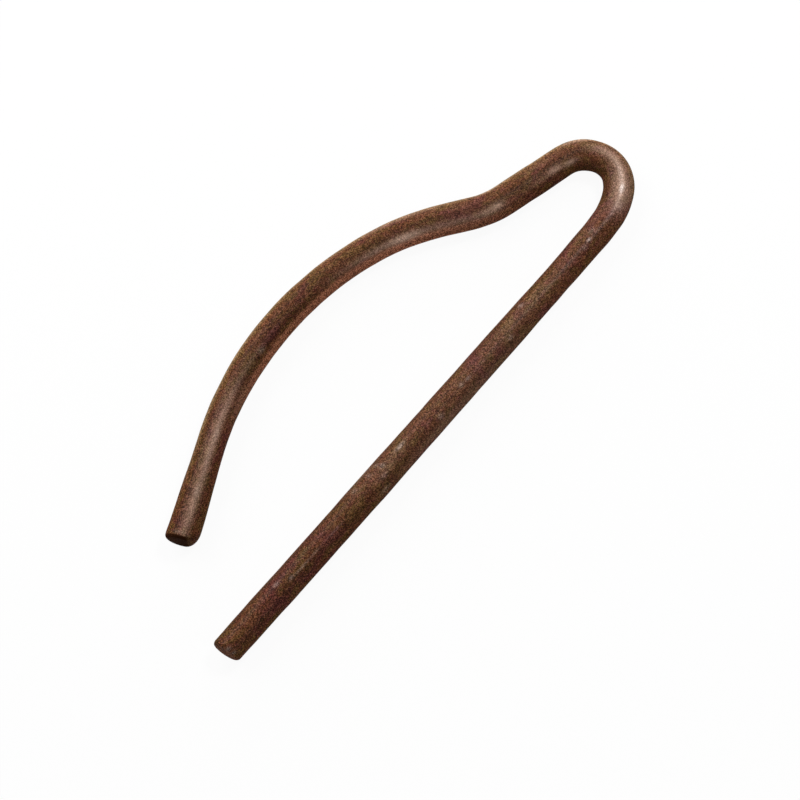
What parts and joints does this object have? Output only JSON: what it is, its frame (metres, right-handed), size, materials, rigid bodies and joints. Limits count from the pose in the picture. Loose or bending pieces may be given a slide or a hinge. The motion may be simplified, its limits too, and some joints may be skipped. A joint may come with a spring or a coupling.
{
  "type": "cotter pin",
  "caption": "Hair-pin cotter of round spring wire: a straight leg for a cross hole, a tight U-bend, and a bowed leg that grips the outside of the shaft.",
  "frame": {"origin": "on the straight leg's axis, where the leg runs into the U-bend, at half the wire's height", "axes": "+X along the straight leg to its free tip, +Z square to the plane that the wire is bent in, bowed leg on the -Y side; it lies flat on the plane at the lowest Z"},
  "size_m": [0.0694, 0.0225, 0.0032],
  "materials": {
    "oxide_steel_wire": "spring steel wire under a thin brown oxide film, satin, with small bright scuffs"
  },
  "bodies": {
    "root": {"cotter_pin": "oxide_steel_wire"}
  },
  "joints": []
}
